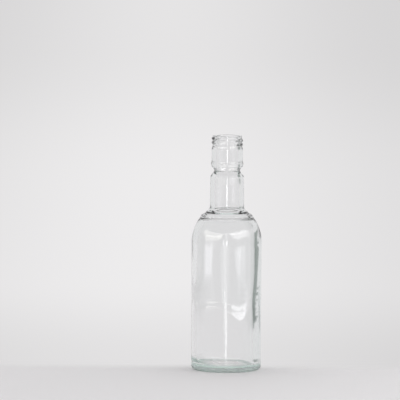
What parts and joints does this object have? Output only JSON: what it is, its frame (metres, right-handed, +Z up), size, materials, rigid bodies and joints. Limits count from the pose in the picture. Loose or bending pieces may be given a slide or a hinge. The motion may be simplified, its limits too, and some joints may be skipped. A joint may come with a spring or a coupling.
{
  "type": "glass liquor bottle",
  "caption": "Empty round clear-glass spirit bottle with a stepped shoulder, straight neck and screw-thread finish, no cap.",
  "frame": {"origin": "centre of the plane that the bottle rests on, on its axis", "axes": "+Z up along the bottle's axis to the mouth; the low end of the thread lies 153 degrees clockwise from +X seen from above; +X and +Y are otherwise arbitrary"},
  "size_m": [0.064, 0.064, 0.214],
  "materials": {
    "clear_glass": "glossy"
  },
  "bodies": {
    "root": {"bottle": "clear_glass"}
  },
  "joints": []
}
